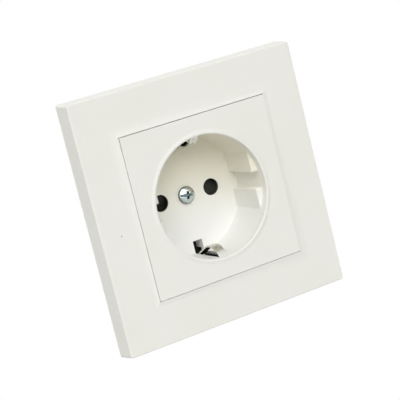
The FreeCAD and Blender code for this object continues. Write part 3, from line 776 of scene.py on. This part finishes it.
def rounded_copy(node, name, radius):
    """Copy of a node with its faces joined and every crease between them rounded."""
    tool, normal_layer = copy_with_normals(frame["nodes"][node].data)
    for edge in tool.edges:
        plain = len(edge.link_faces) != 2 or crease(edge, normal_layer) < crease_angle
        edge.smooth = plain or on_recess_curve(edge)
    if node == "centre_plate":
        tighten_floor_corner(tool)
        flatten_rim(tool)
        shift_plate_edges(tool)
    smooth_edges = [edge for edge in tool.edges if edge.smooth]
    bmesh.ops.dissolve_limit(tool, angle_limit=flat_angle, verts=tool.verts, edges=smooth_edges,
                             delimit={"SHARP"})
    if node == "cover_frame":
        soften(tool, at_plinth_foot, foot_edge)
    creased = [edge for edge in tool.edges if not edge.smooth]
    bevel_edges(tool, creased, radius, edge_steps)
    for edge in tool.edges:
        edge.smooth = True
    smooth_faces(tool)
    tool.loops.layers.float_vector.remove(tool.loops.layers.float_vector["solid_normal"])
    piece = new_piece(name, tool, record_slots[node], node)
    even_shading(piece)


def round_edges(node, radius):
    """Rounds a node's sharp edges with modifiers and leaves its mesh as it is."""
    part = frame["nodes"][node]
    joined = part.modifiers.new("joined_faces", "WELD")
    joined.merge_threshold = join_distance
    plain = part.modifiers.new("plain_faces", "DECIMATE")
    plain.decimate_type = "DISSOLVE"
    plain.angle_limit = flat_angle
    rounded = part.modifiers.new("rounded_edges", "BEVEL")
    rounded.width = radius
    rounded.segments = edge_steps
    rounded.limit_method = "ANGLE"
    rounded.angle_limit = bevel_angle
    even_shading(part)


def pull_rim(tool, rim, y, radius=None):
    """Extrudes the open rim to a ring at y, and scales it to a radius if one is given."""
    grown = bmesh.ops.extrude_edge_only(tool, edges=rim)["geom"]
    ring = [item for item in grown if isinstance(item, bmesh.types.BMVert)]
    now = ring[0].co
    bmesh.ops.translate(tool, verts=ring, vec=(0, y - now.y, 0))
    if radius is not None:
        share = radius / math.hypot(now.x, now.z)
        bmesh.ops.scale(tool, verts=ring, vec=(share, 1, share))
    return [item for item in grown if isinstance(item, bmesh.types.BMEdge)]


def screw_body(crown, rim, tip, head_radius):
    """Domed head, its rim and underside, and the core of the shank."""
    ball = dome_ball(crown, rim, head_radius)
    tool = bmesh.new()
    upright = Matrix.Translation((0, crown + ball, 0)) @ Matrix.Rotation(math.pi / 2, 4, "X")
    bmesh.ops.create_uvsphere(tool, u_segments=screw_steps, v_segments=screw_steps, radius=ball,
                              matrix=upright)
    everything = list(tool.verts) + list(tool.edges) + list(tool.faces)
    bmesh.ops.bisect_plane(tool, geom=everything, dist=join_distance, plane_co=(0, rim, 0),
                           plane_no=(0, 1, 0), clear_outer=True)
    opening = [edge for edge in tool.edges if edge.is_boundary]
    opening = pull_rim(tool, opening, recess_floor)
    opening = pull_rim(tool, opening, recess_floor, screw_core)
    opening = pull_rim(tool, opening, tip - screw_pitch)
    opening = pull_rim(tool, opening, tip, screw_point)
    bmesh.ops.contextual_create(tool, geom=opening)
    bmesh.ops.recalc_face_normals(tool, faces=tool.faces)
    return tool


def add_thread(tool, start, end):
    """Winds a ridge round the core, from start to end along the axis."""
    half = screw_pitch / 2
    corners = [(thread_root, -half), (thread_radius, -thread_crest),
               (thread_radius, thread_crest), (thread_root, half)]
    verts = [tool.verts.new((radius, start + y, 0)) for radius, y in corners]
    edges = [tool.edges.new(pair) for pair in zip(verts, verts[1:])]
    turns = (end - start) / screw_pitch
    steps = round(turns * thread_steps)
    wound = bmesh.ops.spin(tool, geom=verts + edges, cent=(0, 0, 0), axis=(0, -1, 0),
                           dvec=(0, (end - start) / steps, 0), angle=2 * math.pi * turns, steps=steps)
    last = [item for item in wound["geom_last"] if isinstance(item, bmesh.types.BMVert)]
    bmesh.ops.contextual_create(tool, geom=verts)
    bmesh.ops.contextual_create(tool, geom=last)
    ridge = [face for face in tool.faces if any(vert.co.y >= start - half for vert in face.verts)]
    bmesh.ops.recalc_face_normals(tool, faces=ridge)


def turn_about_axis(tool, angle):
    bmesh.ops.rotate(tool, verts=tool.verts, cent=(0, 0, 0), matrix=Matrix.Rotation(angle, 3, "Y"))


def recess_cutter(length, width, depth, taper, crown):
    """Block with a narrower bottom, as deep below the crown as it is high above it."""
    tool = bmesh.new()
    bmesh.ops.create_cube(tool, size=1.0)
    bmesh.ops.scale(tool, verts=tool.verts, vec=(length, 2 * depth, width))
    bmesh.ops.translate(tool, verts=tool.verts, vec=(0, crown, 0))
    bottom = [vert for vert in tool.verts if vert.co.y > crown]
    bmesh.ops.scale(tool, verts=bottom, vec=(taper, 1, taper))
    return tool


def recess_cutters(crown, head_radius):
    """Both bars of the cross, and the slot along the first of them."""
    cutters = []
    for turn in (0, math.pi / 2):
        bar = recess_cutter(cross_length, cross_width, cross_depth, cross_taper, crown)
        turn_about_axis(bar, turn)
        cutters.append(bar)
    slot_length = 2 * head_radius + slot_overrun
    cutters.append(recess_cutter(slot_length, slot_width, slot_depth, slot_taper, crown))
    for cutter in cutters:
        turn_about_axis(cutter, screw_turn)
    return cutters


def cut_recess(piece, cutters):
    """Cuts the shapes out of the piece and keeps the result as its mesh."""
    shapes = [add_mesh_object("cutter", cutter) for cutter in cutters]
    for shape in shapes:
        cut = piece.modifiers.new("cut", "BOOLEAN")
        cut.operation = "DIFFERENCE"
        cut.solver = "EXACT"
        cut.object = shape
    bpy.context.view_layer.update()
    graph = bpy.context.evaluated_depsgraph_get()
    mesh = bpy.data.meshes.new_from_object(piece.evaluated_get(graph))
    piece.modifiers.clear()
    piece.data = mesh
    for shape in shapes:
        bpy.data.objects.remove(shape)


def make_plated_screw():
    """Centre screw with a domed head, a cross and a slot in it, and a thread."""
    low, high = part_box("centre_screw")
    body = screw_body(low.y, recess_floor - screw_rim, high.y, high.x)
    screw = new_piece("plated_screw", body, "bright_screw", "centre_screw")
    cut_recess(screw, recess_cutters(low.y, high.x))
    tool = bmesh.new()
    tool.from_mesh(screw.data)
    sharp = [edge for edge in tool.edges
             if len(edge.link_faces) == 2 and edge.calc_face_angle() > bevel_angle]
    bevel_edges(tool, sharp, screw_edge, edge_steps)
    add_thread(tool, recess_floor + screw_under_head, high.y - screw_pitch)
    smooth_faces(tool)
    tool.to_mesh(screw.data)
    tool.free()
    even_shading(screw)


def make_slot_shade_sheets():
    """Dark sheets of painted shade on both sides of each earth slot, against the tower behind it."""
    tool = bmesh.new()
    low = Vector((shade_sheet_inner, shade_sheet_front, shade_sheet_low))
    high = Vector((shade_sheet_outer, shade_sheet_back, shade_sheet_high))
    size = Matrix.Diagonal((high - low).to_4d())
    middle = (low + high) / 2
    for right in (-1, 1):
        for top in (-1, 1):
            place = Matrix.Translation((right * middle.x, middle.y, top * middle.z))
            bmesh.ops.create_cube(tool, size=1.0, matrix=place @ size)
    bevel_edges(tool, list(tool.edges), shade_sheet_edge, steps=1)
    # Painted shade: dark sheets against the sides of the earth slots
    new_piece("slot_shade_sheets", tool, "base_plastic")


def light_path_share(tree):
    """1 for rays from the camera and for mirrored or passed-through ones, 0 for the rest."""
    path = add_node(tree, "ShaderNodeLightPath", "which ray")
    mirrored = add_math(tree, "camera or mirror", "MAXIMUM", path.outputs["Is Camera Ray"],
                        path.outputs["Is Glossy Ray"])
    return add_math(tree, "or passed through", "MAXIMUM", mirrored, path.outputs["Is Transmission Ray"])


def make_world():
    """White surroundings for what is seen and mirrored; they shed no other light on the part."""
    world = bpy.data.worlds.new("pale_studio")
    bpy.context.scene.world = world
    world.use_nodes = True
    tree = world.node_tree
    background = tree.nodes["Background"]
    background.inputs["Color"].default_value = white
    join(tree, light_path_share(tree), background.inputs["Strength"])


def make_floor_finish():
    """Matt pale floor that looks nearly white where it is seen."""
    material = bpy.data.materials.new("pale_floor")
    material.use_nodes = True
    tree = material.node_tree
    tree.nodes.clear()
    matt = add_node(tree, "ShaderNodeBsdfDiffuse", "matt floor")
    matt.inputs["Color"].default_value = tone("floor")
    glow = add_node(tree, "ShaderNodeEmission", "white where seen")
    share = add_math(tree, "white share", "MULTIPLY", light_path_share(tree), floor_white_share)
    blend = add_node(tree, "ShaderNodeMixShader", "floor")
    join(tree, share, blend.inputs["Fac"])
    join(tree, matt.outputs["BSDF"], blend.inputs[1])
    join(tree, glow.outputs["Emission"], blend.inputs[2])
    output = add_node(tree, "ShaderNodeOutputMaterial", "floor output")
    join(tree, blend.outputs["Shader"], output.inputs["Surface"])
    return material


def make_floor():
    """Pale floor at skirting height below the socket; it takes the shadow."""
    tool = bmesh.new()
    bmesh.ops.create_grid(tool, x_segments=1, y_segments=1, size=floor_half,
                          matrix=Matrix.Translation((0, 0, floor_height)))
    floor = add_mesh_object("floor", tool)
    floor.data.materials.append(make_floor_finish())


def make_light(name, place, watts):
    """Large soft panel that faces the socket."""
    lamp = bpy.data.lights.new(name, "AREA")
    lamp.shape = "SQUARE"
    lamp.size = panel_size
    lamp.energy = watts
    panel = add_object(name, lamp)
    panel.location = place
    panel.rotation_mode = "QUATERNION"
    panel.rotation_quaternion = (-Vector(place)).to_track_quat("-Z", "Y")


def make_camera():
    """Camera at the photograph's place and angle."""
    eye = bpy.data.cameras.new("photo_camera")
    eye.sensor_width = camera_sensor
    eye.lens = camera_lens
    camera = add_object("photo_camera", eye)
    camera.location = camera_place
    camera.rotation_mode = "QUATERNION"
    look = (Vector(camera_aim) - Vector(camera_place)).to_track_quat("-Z", "Y")
    camera.rotation_quaternion = look @ Quaternion((0, 0, 1), -camera_roll)
    bpy.context.scene.camera = camera


for node, part in frame["nodes"].items():
    dress(part, record_slots[node])
for node, radius in edge_radius.items():
    round_edges(node, radius)
rounded_copy("cover_frame", "frame_moulding", frame_edge)
rounded_copy("centre_plate", "plate_moulding", plate_edge)
make_plated_screw()
# Dark sheets of painted shade in the earth slots
make_slot_shade_sheets()
make_world()
make_floor()
for name, (place, watts) in panels.items():
    make_light(name, place, watts)
make_camera()
bpy.context.scene.view_settings.view_transform = "Standard"
